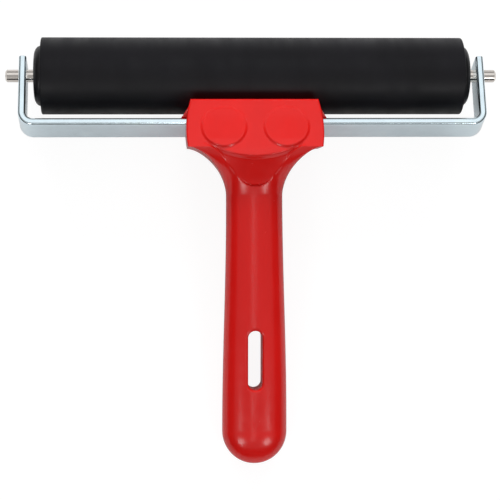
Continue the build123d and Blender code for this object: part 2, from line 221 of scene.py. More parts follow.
# ---------------------------------------------------------------- materials
class Finish:
    """One material's node tree, with short spellings for what the finishes have in common."""

    def __init__(self, name, colour, roughness, metallic=0.0, specular=0.5):
        self.material = bpy.data.materials.new(name)
        self.material.use_nodes = True
        self.tree = self.material.node_tree
        self.shader = self.tree.nodes["Principled BSDF"]
        self.shader.inputs["Base Color"].default_value = (*colour, 1.0)
        self.shader.inputs["Roughness"].default_value = roughness
        self.shader.inputs["Metallic"].default_value = metallic
        self.shader.inputs["Specular IOR Level"].default_value = specular
        self.place = self.tree.nodes.new("ShaderNodeTexCoord").outputs["Object"]

    def link(self, source, target):
        """Joins an output socket to an input socket."""
        self.tree.links.new(source, target)

    def noise(self, scale, detail=2.0, stretch=(1.0, 1.0, 1.0), roughness=0.5):
        """Noise on object coordinates, stretched along an axis by a smaller factor."""
        mapping = self.tree.nodes.new("ShaderNodeMapping")
        mapping.inputs["Scale"].default_value = stretch
        mapping.inputs["Rotation"].default_value = (FRAME_SLOPE, 0.0, 0.0)
        self.link(self.place, mapping.inputs["Vector"])
        node = self.tree.nodes.new("ShaderNodeTexNoise")
        node.inputs["Scale"].default_value = scale
        node.inputs["Detail"].default_value = detail
        node.inputs["Roughness"].default_value = roughness
        self.link(mapping.outputs["Vector"], node.inputs["Vector"])
        return node.outputs["Fac"]

    def ramp(self, source, low, high, middle=0.3):
        """Maps a noise's middle range, as wide as given, to low..high and holds it there beyond."""
        node = self.tree.nodes.new("ShaderNodeMapRange")
        node.inputs["From Min"].default_value = 0.5 - middle / 2
        node.inputs["From Max"].default_value = 0.5 + middle / 2
        node.inputs["To Min"].default_value = low
        node.inputs["To Max"].default_value = high
        self.link(source, node.inputs["Value"])
        return node.outputs["Result"]

    def tint(self, source, colour, low, high):
        """Base colour from low to high times the given one, by the source."""
        node = self.tree.nodes.new("ShaderNodeMix")
        node.data_type = "RGBA"
        node.inputs["A"].default_value = (*shade(colour, low), 1.0)
        node.inputs["B"].default_value = (*shade(colour, high), 1.0)
        self.link(source, node.inputs["Factor"])
        self.link(node.outputs["Result"], self.shader.inputs["Base Color"])

    def roughness(self, source):
        """Roughness by the source."""
        self.link(source, self.shader.inputs["Roughness"])

    def bumps(self, *layers):
        """Bumps one on the other: (height source, strength, distance in metres)."""
        normal = None
        for source, strength, distance in layers:
            node = self.tree.nodes.new("ShaderNodeBump")
            node.inputs["Strength"].default_value = strength
            node.inputs["Distance"].default_value = distance
            self.link(source, node.inputs["Height"])
            if normal:
                self.link(normal, node.inputs["Normal"])
            normal = node.outputs["Normal"]
        self.link(normal, self.shader.inputs["Normal"])


def shade(colour, factor):
    """A colour made darker or lighter."""
    return tuple(channel * factor for channel in colour)


def handle_plastic(colours):
    """Glossy red moulding: faint flow mottling, fine orange peel and slight handling dullness."""
    red = tuple(colours.handle_red)
    plastic = Finish("handle_red_plastic", red, 0.2, specular=0.42)
    flow_marks = plastic.noise(45, detail=5, stretch=(1, 0.4, 1), roughness=0.6)
    handling = plastic.noise(160, detail=5, roughness=0.6)
    plastic.tint(plastic.ramp(flow_marks, 0, 1, middle=0.5), red, 0.90, 1.05)
    plastic.roughness(plastic.ramp(handling, 0.15, 0.28, middle=0.5))
    plastic.bumps((plastic.noise(1500), 0.04, 0.0002), (plastic.noise(90, detail=1), 0.04, 0.0006))
    return plastic.material


def roller_rubber(colours):
    """Ground black rubber: fine grinding lines round the roller and a dusty, uneven sheen."""
    black = tuple(colours.rubber_black)
    rubber = Finish("roller_black_rubber", black, 0.5, specular=0.25)
    dust = rubber.noise(35, detail=4)
    wiped_bands = rubber.noise(160, detail=4, stretch=(1, 0.3, 0.3))
    grinding_lines = rubber.noise(900, stretch=(1, 0.02, 0.02))
    rubber.tint(rubber.ramp(dust, 0, 1), black, 0.85, 1.25)
    rubber.roughness(rubber.ramp(wiped_bands, 0.42, 0.54))
    rubber.bumps((grinding_lines, 0.06, 0.0001), (rubber.noise(2600), 0.10, 0.0001))
    return rubber.material


def strip_zinc(colours):
    """Bright zinc over rolled strip: lengthwise streaks, soft spangle and paler rubbed patches."""
    zinc = tuple(colours.zinc)
    plate = Finish("strip_bright_zinc", zinc, 0.3, metallic=1.0)
    rubbed_patches, spangle = plate.noise(140, detail=3), plate.noise(500, detail=4)
    rolling_streaks = plate.noise(1300, detail=3, stretch=(0.05, 1, 1))
    plate.tint(plate.ramp(rubbed_patches, 0, 1, middle=0.6), zinc, 0.94, 1.05)
    plate.roughness(plate.ramp(spangle, 0.1, 0.18, middle=0.6))
    plate.bumps((rolling_streaks, 0.02, 0.0001), (plate.noise(60), 0.02, 0.0004))
    return plate.material


def turned_steel(name, colour, roughness):
    """Turned or drawn steel: rings round the axis and a slight patchy tone."""
    steel = Finish(name, colour, roughness, metallic=1.0)
    patches, wear = steel.noise(200, detail=3), steel.noise(500, detail=3, stretch=(1, 0.1, 0.1))
    turning_marks = steel.noise(1800, stretch=(1, 0.05, 0.05))
    steel.tint(steel.ramp(patches, 0, 1, middle=0.6), colour, 0.94, 1.05)
    steel.roughness(steel.ramp(wear, roughness * 0.85, roughness * 1.2, middle=0.6))
    steel.bumps((turning_marks, 0.02, 0.0001))
    return steel.material


def black_moulding(colours):
    """Satin black plastic with a fine spark-eroded grain."""
    black = tuple(colours.cap_black)
    moulding = Finish("cap_black_plastic", black, 0.4, specular=0.3)
    moulding.tint(moulding.ramp(moulding.noise(120, detail=3), 0, 1), black, 0.85, 1.2)
    moulding.roughness(moulding.ramp(moulding.noise(500, detail=3), 0.34, 0.46))
    moulding.bumps((moulding.noise(3000), 0.12, 0.0001))
    return moulding.material


# ---------------------------------------------------------------- handle's form
# Rows of sections along the handle, and points along each part of a section.
EDGE_ROWS, HOOD_ROWS, SHOULDER_ROWS, GRIP_ROWS, DOME_ROWS = 7, 84, 72, 96, 28
TOP_POINTS, CORNER_POINTS, SIDE_POINTS, BOTTOM_POINTS = 141, 7, 7, 41
# Degrees on the grip's oval where its top ends and its side begins.
TOP_END, SIDE_END = 30.0, 14.0
OVAL_POWER = 2.25  # 2 is a true ellipse, more is squarer
LARGEST_ROUND = 0.46  # of a section's width or depth
SHOULDER_ROUNDING = 7.0  # what the corners' radius gains from hood to neck
SHOULDER_STRAIGHTNESS = 0.7  # share of the shoulders' top that runs straight
FLOOR_BLEND = 1.0  # rounding between the front wall and the underside
FRONT_MARGIN = 1.2  # behind the front edge, before scoop and pads count in full

# The thumb scoop's ramp and lip, then its U-shaped outline.
RAMP_POWER = 1.1
LIP_SHARES = (-0.02, 0.16)  # of the way to the scoop's reach, between which the lip drops
LIP_ROUNDING = 1.6
TIP_SPREAD = 4.15  # half the width 1 mm ahead of the tip
FLARE_PLACE, FLARE_SPREAD = 39.5, 0.136  # S ahead of which the U flares, and how fast
SCOOP_HALF_WIDTH = 24.5
SCOOP_WALL = 1.3
FADE_ACROSS, FADE_ALONG = (17.5, 25.0), (30.5, 32.5)  # X and S over which the outline fades
PAD_CENTRE_SHARE, PAD_LEAST_SHARE = 0.7, 0.45  # of a pad's height, at its centre and towards the front

SLOT_END_POINTS, SLOT_RIM_POINTS = 25, 7
# The clamp plate's pocket in the tool frame: Y of its outline's corners, then Z of roof and mouth.
PLATE_FRONT, PLATE_SHOULDER, PLATE_BACK, PLATE_BACK_HALF = -23.4, -31.5, -39.4, 18.5
POCKET_ROOF, POCKET_MOUTH = -8.0, -16.0


def handle_station_list(size):
    """Distances S of the handle's sections: even steps along hood and grip, and steps that follow
    a quarter circle round the front edge, the shoulders and the end's dome."""
    start, back, neck, end = size.hood_start, size.hood_back, size.neck, size.grip_end
    front = start + size.edge_round * (1 - np.cos(np.linspace(0, pi / 2, EDGE_ROWS)))
    hood = np.linspace(front[-1], back, HOOD_ROWS)[1:]
    shoulder = back + (neck - back) * (1 - np.cos(np.linspace(0, pi / 2, SHOULDER_ROWS)[1:]))
    grip = np.linspace(neck, end, GRIP_ROWS)[1:]
    dome = end + size.grip_dome * np.sin(np.linspace(0, radians(89.0), DOME_ROWS))[1:]
    return np.concatenate([front, hood, shoulder, grip, dome])


def by_part(size, s, hood, shoulder, grip):
    """The hood's value ahead of the hood's back, the grip's beyond the neck, else the shoulders'."""
    return np.where(s < size.hood_back, hood, np.where(s < size.neck, shoulder, grip))


def dome_share(size, s):
    """1 along the grip, then a quarter ellipse down to 0 at the dome's tip."""
    return np.sqrt(np.clip(1 - (np.clip(s - size.grip_end, 0, None) / size.grip_dome) ** 2, 0, 1))


def handle_half_width(size, s):
    """Half the width: along the hood a parabola through three widths; along the shoulders a fall to
    the neck by (1 - u^p)^(1/p), with u from 1 at the hood to 0 at the neck; along the grip a swell
    by half a cosine wave, closed by the dome."""
    barrel = np.polyfit(
        (size.hood_start, size.hood_middle, size.hood_back),
        (size.hood_front_width / 2, size.hood_width / 2, size.hood_back_width / 2),
        2,
    )
    along = np.clip((size.neck - s) / (size.neck - size.hood_back), 0, 1)
    fall = (1 - along**size.shoulder_power) ** (1 / size.shoulder_power)
    shoulder = (size.hood_back_width - (size.hood_back_width - size.neck_width) * fall) / 2
    swell = ease((s - size.neck) / (size.grip_end - size.neck))
    grip = (size.neck_width + (size.grip_width - size.neck_width) * swell) / 2
    return by_part(size, s, np.polyval(barrel, s), shoulder, grip * dome_share(size, s))


def face_height(size, s):
    """The hood's flat face: a straight climb from its front edge."""
    return size.face_front + (s - size.hood_start) * tan(FACE_CLIMB)


def floor_height(size, s):
    """The hood's underside: level in the tool frame, so a climb by the grip's angle here."""
    return size.floor_front_height + (s - size.floor_front) * tan(GRIP_ANGLE)


def end_height(size):
    """Height of the grip end's centre that sets the end's lowest point on the table. The dome is
    half an ellipse, so that point lies sqrt((length*sin)^2 + (half depth*cos)^2) of the slope
    below its centre."""
    slope = GRIP_ANGLE - FRAME_SLOPE
    support = sqrt((size.grip_dome * sin(slope)) ** 2 + (size.grip_depth / 2 * cos(slope)) ** 2)
    return (support - AXIS_Z + size.grip_end * sin(slope)) / cos(slope)


def grip_line(size, s):
    """Height of the grip's middle line and half its depth: both straight from neck to end, and the
    line bowed by half a sine wave."""
    along = np.clip((s - size.neck) / (size.grip_end - size.neck), 0, 1)
    climb = (end_height(size) - size.neck_height) * along
    middle = size.neck_height + climb + size.grip_bow * np.sin(pi * along)
    return middle, (size.neck_depth + (size.grip_depth - size.neck_depth) * along) / 2


def handle_heights(size, s):
    """Top and bottom of the handle along its middle line.

    The hood lies between its face, with a quarter circle at the front edge, and the higher of the
    leaning front wall and the underside. The shoulders run on to the neck, by half a cosine wave
    below and mostly straight above. The grip lies half its depth either side of its line.
    """
    round_off = np.clip(size.edge_round - (s - size.hood_start), 0, size.edge_round)
    drop = size.edge_round - np.sqrt(size.edge_round**2 - round_off**2)
    face = face_height(size, s) - drop
    wall_top = size.face_front - size.edge_round
    wall_fall = (wall_top - size.floor_front_height) / (size.floor_front - size.hood_start)
    wall = wall_top - (s - size.hood_start) * wall_fall
    hood_bottom = -soft_min(-wall, -floor_height(size, s), FLOOR_BLEND)

    straight = np.clip((s - size.hood_back) / (size.neck - size.hood_back), 0, 1)
    share = ease(straight)
    top_share = SHOULDER_STRAIGHTNESS * straight + (1 - SHOULDER_STRAIGHTNESS) * share
    back_top, back_bottom = face_height(size, size.hood_back), floor_height(size, size.hood_back)
    neck_top, neck_bottom = size.neck_height + size.neck_depth / 2, size.neck_height - size.neck_depth / 2
    shoulder_top = back_top + (neck_top - back_top) * top_share
    shoulder_bottom = back_bottom + (neck_bottom - back_bottom) * share

    middle, depth = grip_line(size, s)
    depth = depth * dome_share(size, s)
    top = by_part(size, s, face, shoulder_top, middle + depth)
    bottom = by_part(size, s, hood_bottom, shoulder_bottom, middle - depth)
    return top, bottom


def ring_parameters():
    """The parts of a section in turn, each with its shares or corner angles along the box and its
    angles on the oval; a part's last point is the next one's first and is left to it."""
    spans = (
        ("top", TOP_POINTS, -1.0, 1.0, 180.0 - TOP_END, TOP_END),
        ("corner", CORNER_POINTS, 90.0, 0.0, TOP_END, SIDE_END),
        ("side", SIDE_POINTS, 1.0, -1.0, SIDE_END, -SIDE_END),
        ("corner", CORNER_POINTS, 0.0, -90.0, -SIDE_END, -TOP_END),
        ("bottom", BOTTOM_POINTS, 1.0, -1.0, -TOP_END, TOP_END - 180.0),
        ("corner", CORNER_POINTS, -90.0, -180.0, TOP_END - 180.0, SIDE_END - 180.0),
        ("side", SIDE_POINTS, -1.0, 1.0, SIDE_END - 180.0, -SIDE_END - 180.0),
        ("corner", CORNER_POINTS, 180.0, 90.0, 180.0 - SIDE_END, 180.0 - TOP_END),
    )
    for part, count, share_from, share_to, oval_from, oval_to in spans:
        shares = np.linspace(share_from, share_to, count)[:-1]
        yield part, shares, np.radians(np.linspace(oval_from, oval_to, count)[:-1])


def handle_rings(size, s):
    """X and H of the sections at every S, and which points lie on their top side.

    The box is as wide and deep as the handle, with round corners. The oval holds
    |x / half width|^p + |h / half depth|^p = 1. A point goes from the box to the oval by half a
    cosine wave between the hood's back and the neck.
    """
    half = handle_half_width(size, s)[:, None]
    top, bottom = (h[:, None] for h in handle_heights(size, s))
    share = ease((s - size.hood_back) / (size.neck - size.hood_back))[:, None]
    radius = np.minimum(size.edge_round + SHOULDER_ROUNDING * share, LARGEST_ROUND * (top - bottom))
    radius = np.minimum(radius, LARGEST_ROUND * half * 2)
    middle, depth = (top + bottom) / 2, (top - bottom) / 2
    power = 2 / OVAL_POWER
    xs, hs, tops = [], [], []
    for part, along, oval in ring_parameters():
        side = 1.0 if np.cos(oval).mean() > 0 else -1.0
        up = 1.0 if np.sin(oval).mean() > 0 else -1.0
        if part == "top":
            box_x, box_h = along * (half - radius), top + 0 * along
        elif part == "bottom":
            box_x, box_h = along * (half - radius), bottom + 0 * along
        elif part == "side":
            box_x, box_h = side * half + 0 * along, middle + along * (depth - radius)
        else:
            turn = np.radians(along)
            box_x = side * (half - radius) + radius * np.cos(turn)
            box_h = middle + up * (depth - radius) + radius * np.sin(turn)
        oval_x = half * np.sign(np.cos(oval)) * np.abs(np.cos(oval)) ** power
        oval_h = middle + depth * np.sign(np.sin(oval)) * np.abs(np.sin(oval)) ** power
        xs.append(box_x + (oval_x - box_x) * share)
        hs.append(box_h + (oval_h - box_h) * share)
        tops.append(np.full(len(along), part == "top"))
    return np.hstack(xs), np.hstack(hs), np.concatenate(tops)


def scoop_surface(size, x, s):
    """Height of the thumb scoop, with u the share of the way from the lip's arc to the reach.

    The ramp falls from just under the face's height at the lip to the floor as (1 - u)^power, and
    the lip's own drop is added back by a cubic step near the arc. The face cuts it off above, with
    the corner between them rounded.
    """
    ahead = s - size.scoop_centre
    reach = np.hypot(x, ahead)
    lip_s = size.scoop_centre + size.lip_radius * ahead / np.maximum(reach, 1e-6)
    lip_face = face_height(size, lip_s)
    out = np.clip((reach - size.lip_radius) / (size.scoop_reach - size.lip_radius), 0, 1)
    ramp = size.scoop_floor + (lip_face - size.lip_drop - size.scoop_floor) * (1 - out) ** RAMP_POWER
    bell = ramp + size.lip_drop * (1 - smooth_step(*LIP_SHARES, out))
    return soft_min(face_height(size, s), bell, LIP_ROUNDING)


def scoop_share(size, x, s):
    """1 inside the scoop's U-shaped outline and 0 outside, fading along its side walls.

    Half the outline's width is a multiple of the root of the distance from the tip, plus a
    multiple of the square of the distance ahead of the flare's place, up to a limit.
    """
    tip = TIP_SPREAD * np.sqrt(np.clip(size.scoop_tip - s, 0, None))
    flare = FLARE_SPREAD * np.clip(FLARE_PLACE - s, 0, None) ** 2
    half = np.minimum(tip + flare, SCOOP_HALF_WIDTH)
    fade = (1 - smooth_step(*FADE_ACROSS, np.abs(x))) * smooth_step(*FADE_ALONG, s)
    return smooth_step(0.0, SCOOP_WALL, half - np.abs(x)) * fade


def raise_pads(size, x, s, h):
    """Lifts two round pads off the face, lower towards the hood's front edge, whose rims fall by a
    cubic step from the flat's radius to the foot's."""
    squeeze = cos(FACE_CLIMB)
    share = np.clip((s - size.pad_place) / size.pad_width + PAD_CENTRE_SHARE, PAD_LEAST_SHARE, 1.0)
    crest = face_height(size, s) + size.pad_height * share / squeeze
    for side in (-1, 1):
        away = np.hypot(x - side * size.pad_spacing / 2, (s - size.pad_place) / squeeze)
        lift = 1 - smooth_step(size.pad_width / 2, size.pad_base_width / 2, away)
        h = h + (crest - h) * lift
    return h


def handle_grid(size):
    """All points of the handle: its sections, with scoop and pads worked into their top side."""
    s = handle_station_list(size)
    x, h, is_top = handle_rings(size, s)
    s_grid = np.broadcast_to(s[:, None], x.shape)
    x_top, s_top, h_top = x[:, is_top], s_grid[:, is_top], h[:, is_top]
    behind_front = smooth_step(size.hood_start, size.hood_start + FRONT_MARGIN, s_top)
    scooped = h_top + scoop_share(size, x_top, s_top) * (scoop_surface(size, x_top, s_top) - h_top)
    detailed = raise_pads(size, x_top, s_top, scooped)
    h[:, is_top] = np.where(s_top > size.scoop_tip, h_top, h_top + (detailed - h_top) * behind_front)
    return grip_to_table(x, s_grid, h)


def slot_cutter(size):
    """The hanging slot: a stadium carried through the grip, whose mouths round the rims.

    At a depth d below the grip's surface the outline has grown by r - sqrt(r^2 - (r - d)^2), for a
    rim's radius r, and at the surface by r.
    """
    radius = size.slot_width / 2
    half_run = size.slot_length / 2 - radius
    ends = ((size.slot_place + half_run, 0), (size.slot_place - half_run, 180))
    outline = np.vstack(
        [arc((0, place), radius, start, start + 180, SLOT_END_POINTS) for place, start in ends]
    )
    step = np.roll(outline, -1, axis=0) - np.roll(outline, 1, axis=0)
    outward = np.stack([step[:, 1], -step[:, 0]], 1) / np.linalg.norm(step, axis=1)[:, None]
    outward *= np.sign(np.sum(outward * (outline - (0.0, size.slot_place)), axis=1))[:, None]

    rim, skin, stand_out = size.slot_rim, 0.05, 3.0
    depths = rim * (1 - np.cos(np.linspace(0, pi / 2, SLOT_RIM_POINTS))) - skin
    inset = rim - np.maximum(depths, 0.0)
    growths = rim - np.sqrt(np.maximum(rim**2 - inset**2, 0.0))
    levels = [(-stand_out, rim), *zip(depths, growths)]
    middle, grip_depth = grip_line(size, outline[:, 1])
    rows = []
    for direction in (1, -1):
        half = []
        for depth, growth in levels:
            ring = outline + outward * growth
            across = np.abs(ring[:, 0] / (size.grip_width / 2))
            crown = grip_depth * (1 - across**OVAL_POWER) ** (1 / OVAL_POWER)
            half.append(grip_to_table(ring[:, 0], ring[:, 1], middle + direction * (crown - depth)))
        rows += half[::direction]
    return surface("slot_cutter", np.stack(rows), pole_caps=True)


def plate_recess_cutter():
    """The shallow pocket in the hood's underside that the clamp plate sits in: the plate's
    six-cornered outline with a gap all round, upright in the tool frame."""
    gap = 0.25
    half, back_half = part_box("rear_clamp_plate")[1][0] / MM + gap, PLATE_BACK_HALF + gap
    right = [(half, PLATE_FRONT + gap), (half, PLATE_SHOULDER - gap), (back_half, PLATE_BACK - gap)]
    left = [(-x, y) for x, y in right]
    outline = np.array([left[0], *right, left[2], left[1]])
    rows = [tool_to_table(outline[:, 0], outline[:, 1], z) for z in (POCKET_ROOF, POCKET_MOUTH)]
    return surface("recess_cutter", np.stack(rows), pole_caps=True)


# ---------------------------------------------------------------- pieces
WEB_ROWS = 24
ARM_ROWS, BEND_ROWS, RUN_ROWS = 60, 20, 220  # sections along the strip
RUBBER_TURNS, CAP_TURNS = 192, 128  # profiles round the roller


def make_handle(scene):
    """The one-piece handle, its sections swept from hood to grip end.

    Each section is a rounded box in the hood and an oval in the grip. On the top side the height
    is lowered to a bell round the scoop's centre inside a U outline, and raised by two round pads
    with sloping rims. The hanging slot and the clamp plate's pocket are then cut out.
    """
    size = scene.brayer_handle
    grid = handle_grid(size)
    handle = surface("handle_body", grid, pole_caps=True)
    cut(handle, slot_cutter(size))
    cut(handle, plate_recess_cutter())
    return dress(handle, "frame", handle_plastic(scene.brayer_colours), "red_plastic", "handle")


def make_apron_ears(scene):
    """Two webs beside the hood's front: a five-sided outline with rounded corners, carried from
    the front wall to the strip while its outer side and top move in proportion to the distance."""
    size = scene.brayer_handle
    root, bite = 3.0, 0.15  # how far a web reaches into the hood's side and into its front wall
    below_face, bevel_width, bevel_height = 1.0, 0.8, 2.5
    hood_side, foot = size.hood_front_width / 2, size.hood_floor_z
    inner, front_top = hood_side - root, size.hood_face_z - below_face
    ears = []
    for side, name in ((-1, "left"), (1, "right")):
        rows = []
        for t in np.linspace(0, 1, WEB_ROWS):
            outer = hood_side + (size.apron_width / 2 - hood_side) * t
            top = front_top + (size.apron_shoulder - front_top) * t
            bevel = [(outer - bevel_width, top), (outer, top - bevel_height)]
            corners = np.array([(inner, top), *bevel, (outer, foot), (inner, foot)])
            ring = round_corners(corners, size.apron_round, 5)
            lean = size.wall_lean * (size.hood_face_z - ring[:, 1]) / size.hood_face_z
            wall = size.hood_front_y - lean - bite
            depth = wall + (size.apron_back_y - wall) * t
            rows.append(tool_to_table(side * ring[:, 0], depth, ring[:, 1]))
        ear = surface(f"apron_ear_{name}", np.stack(rows), pole_caps=True)
        ears.append(dress(ear, "frame", handle_plastic(scene.brayer_colours), "red_plastic"))
    return ears


def strip_path(size):
    """Middle line of the bent strip from the left tip to the right one, with its side direction:
    an arm, a quarter circle and the cross run, then the first two mirrored."""
    half, bend = size.arm_span / 2, size.bend_radius
    back = -size.strip_back + size.strip_thickness / 2
    arm = np.linspace(size.arm_tip, back + bend, ARM_ROWS)
    left_bend = arc((-half + bend, back + bend), bend, 180, 270, BEND_ROWS)
    left = np.vstack([np.stack([np.full(len(arm), -half), arm], 1), left_bend[1:]])
    run = np.linspace(-half + bend, half - bend, RUN_ROWS)[1:-1]
    path = np.vstack([left, np.stack([run, np.full(len(run), back)], 1), left[::-1] * (-1, 1)])
    along = np.gradient(path, axis=0)
    along /= np.linalg.norm(along, axis=1)[:, None]
    return path, np.stack([along[:, 1], -along[:, 0]], 1)


def make_strip(scene):
    """The strip frame: a flat bar's round-edged section carried along a square U, ends closed.

    A point is path(t) + side(t)*u in the plane of the U, and v across it, for (u, v) on the
    section's outline. At each tip a smaller section stands a little beyond the last full one, so
    that the cut end's edges are broken.
    """
    size = scene.brayer_frame
    outline = rounded_box_outline(size.strip_thickness, size.strip_width, size.strip_round, 5, 7)
    tip_bevel = 0.35
    shrunk = outline * (1 - tip_bevel / np.array([size.strip_thickness / 2, size.strip_width / 2]))
    path, side = (np.vstack([line[:1], line, line[-1:]]) for line in strip_path(size))
    shapes = np.stack([shrunk, *[outline] * (len(path) - 2), shrunk])
    flat = path[:, None] + side[:, None] * shapes[..., :1]
    flat[[1, -2], :, 1] -= tip_bevel
    strip = surface("bent_strip", tool_to_table(flat[..., 0], flat[..., 1], shapes[..., 1]), pole_caps=True)
    return dress(strip, "frame", strip_zinc(scene.brayer_colours), "zinc_plate", "frame_strip")


def make_rubber(scene):
    """The rubber cover: a ring with a flat face and bore, and a quarter circle at both outer edges."""
    size = scene.brayer_roller
    half, outer, bore, edge = size.rubber_length / 2, size.rubber_radius, size.rubber_bore, size.rubber_round
    face = np.linspace(half - edge, -half + edge, 42)[1:-1]
    inside = np.linspace(-half, half, 12)
    profile = np.vstack(
        [
            arc((half - edge, outer - edge), edge, 0, 90, 8),
            np.stack([face, np.full(len(face), outer)], 1),
            arc((-half + edge, outer - edge), edge, 90, 180, 8),
            np.stack([inside, np.full(len(inside), bore)], 1),
        ]
    )
    cover = revolve_about_roller("rubber_surface", profile, RUBBER_TURNS)
    return dress(cover, "roller", roller_rubber(scene.brayer_colours), "black_rubber", "rubber_cover")


def make_caps(scene):
    """Two end caps: a collar with a quarter-ellipse rim, a stepped bearing seat and a plug that
    fills the tube's end."""
    size = scene.brayer_roller
    caps = []
    face, outside = size.rubber_length / 2, size.rubber_length / 2 + size.collar_length
    plug_end, seat_end = face - size.plug_length, outside - size.seat_depth
    rim, edge = size.collar_round, 0.3
    quarter = arc((0, 0), 1.0, 90, 0, 16)
    for side, name in ((-1, "left"), (1, "right")):
        profile = np.vstack(
            [
                [(plug_end, size.cap_bore), (plug_end, size.plug_radius)],
                [(face, size.plug_radius), (face, size.rubber_bore)],
                quarter * (outside - face - edge, rim) + (face + edge, size.rubber_bore - rim),
                [(outside, size.seat_radius + edge), (outside - edge, size.seat_radius)],
                [(seat_end, size.seat_radius), (seat_end, size.cap_bore)],
            ]
        )
        cap = revolve_about_roller(f"cap_{name}", profile * (side, 1), CAP_TURNS)
        moulding = black_moulding(scene.brayer_colours)
        caps.append(dress(cap, "roller", moulding, "black_plastic", f"end_cap_{name}"))
    return caps


def finish_kept_nodes(scene):
    """Gives the CAD nodes that stay visible their own finishes."""
    colours = scene.brayer_colours
    steel = tuple(colours.bearing_steel)
    bearing_ring = turned_steel("ground_bearing_ring", steel, 0.2)
    finishes = {
        "axle": turned_steel("axle_bright_bar", tuple(colours.axle_steel), 0.14),
        "rear_clamp_plate": handle_plastic(colours),
        "clamp_screws": turned_steel("screw_steel_plated", steel, 0.32),
        "core_tube": turned_steel("drawn_aluminium_tube", tuple(colours.tube_aluminium), 0.35),
        "bearing_outer_ring": bearing_ring,
        "bearing_inner_ring": bearing_ring,
        "bearing_balls": turned_steel("polished_ball", steel, 0.08),
        "bearing_cage": turned_steel("pressed_cage", shade(steel, 0.8), 0.4),
        "bearing_shields": turned_steel("pressed_shield", shade(steel, 0.9), 0.3),
        "retaining_ring": turned_steel("spring_steel_ring", shade(steel, 0.5), 0.35),
    }
    finished = []
    for node, piece in frame["nodes"].items():
        stem = node.removesuffix("_left").removesuffix("_right")
        if stem not in finishes:
            continue
        if not piece.material_slots:
            piece.data.materials.append(finishes[stem])
        for slot in piece.material_slots:
            slot.material = finishes[stem]
        smooth(piece.data, 30)
        finished.append(piece)
    return finished


# ---------------------------------------------------------------- stage
WHITE, COOL_WHITE, CARD_BLACK = (1.0, 1.0, 1.0), (0.96, 0.98, 1.0), (0.06, 0.06, 0.06)
PAPER_GLOW, GLOW_SHARE = 1.1, 0.82
TABLE_HALF = 1.6


def soft_light(name, energy, size, place, aim=(0.0, 0.0, 0.0), colour=WHITE):
    """A rectangular light of the given width and height, turned from its place towards its aim."""
    light = bpy.data.lights.new(name, "AREA")
    light.shape = "RECTANGLE"
    light.size, light.size_y = size
    light.energy = energy
    light.color = colour
    lamp = bpy.data.objects.new(name, light)
    lamp.location = place
    lamp.rotation_euler = (Vector(aim) - Vector(place)).to_track_quat("-Z", "Y").to_euler()
    bpy.context.scene.collection.objects.link(lamp)
    return lamp


def table_paper(tone):
    """Pale paper for the table; seen straight on it is lit from below, as on a light table."""
    paper = Finish("table_paper", (tone,) * 3, 0.85)
    paper.bumps((paper.noise(300, detail=3), 0.05, 0.0002))
    glow = paper.tree.nodes.new("ShaderNodeEmission")
    glow.inputs["Strength"].default_value = PAPER_GLOW
    path = paper.tree.nodes.new("ShaderNodeLightPath")
    share = paper.tree.nodes.new("ShaderNodeMath")
    share.operation = "MULTIPLY"
    share.inputs[1].default_value = GLOW_SHARE
    mix = paper.tree.nodes.new("ShaderNodeMixShader")
    paper.link(path.outputs["Is Camera Ray"], share.inputs[0])
    paper.link(share.outputs["Value"], mix.inputs["Fac"])
    paper.link(paper.shader.outputs["BSDF"], mix.inputs[1])
    paper.link(glow.outputs["Emission"], mix.inputs[2])
    paper.link(mix.outputs["Shader"], paper.tree.nodes["Material Output"].inputs["Surface"])
    return paper.material


def light_up_room(tree, strength):
    """Even surroundings of the given strength that look plain white to the camera."""
    background = tree.nodes["Background"]
    background.inputs["Color"].default_value = (1.0, 1.0, 1.0, 1.0)
    path = tree.nodes.new("ShaderNodeLightPath")
    spread = tree.nodes.new("ShaderNodeMapRange")
    spread.inputs["To Min"].default_value = strength
    spread.inputs["To Max"].default_value = 1.0
    tree.links.new(path.outputs["Is Camera Ray"], spread.inputs["Value"])
    tree.links.new(spread.outputs["Result"], background.inputs["Strength"])


def dark_card(name, width, height, place, turn=0.0):
    """A standing black card that keeps light off one side, never seen itself."""
    x = width / 2
    mesh = bpy.data.meshes.new(name)
    mesh.from_pydata([(-x, 0, 0), (x, 0, 0), (x, 0, height), (-x, 0, height)], [], [(0, 1, 2, 3)])
    mesh.materials.append(Finish(name, CARD_BLACK, 0.9).material)
    card = bpy.data.objects.new(name, mesh)
    card.location = place
    card.rotation_euler = (0.0, 0.0, turn)
    card.visible_camera = False
    bpy.context.scene.collection.objects.link(card)
    return card


def make_table(scene):
    """A square sheet of pale paper at height 0."""
    half = TABLE_HALF
    sheet = bpy.data.meshes.new("table_top")
    corners = [(-half, -half, 0), (half, -half, 0), (half, half, 0), (-half, half, 0)]
    sheet.from_pydata(corners, [], [(0, 1, 2, 3)])
    sheet.materials.append(table_paper(scene.brayer_stage.floor_tone))
    table = bpy.data.objects.new("table_top", sheet)
    scene.collection.objects.link(table)
    return table


def make_camera(scene):
    """The camera, aimed from its place at its target, and turned about that line by its roll."""
    look = scene.brayer_stage
    lens = bpy.data.cameras.new("camera")
    lens.lens, lens.sensor_width = look.lens, 36.0
    lens.clip_start, lens.clip_end = 0.05, 20.0
    camera = bpy.data.objects.new("camera", lens)
    scene.collection.objects.link(camera)
    place = Vector(look.camera_place)
    forward = (Vector(look.camera_target) - place).normalized()
    level = Vector((1, 0, 0)) - forward * forward.x
    level.normalize()
    right = level * cos(look.camera_roll) + level.cross(forward) * sin(look.camera_roll)
    camera.matrix_world = Matrix((right, right.cross(forward), -forward)).transposed().to_4x4()
    camera.location = place
    scene.camera = camera
    return camera


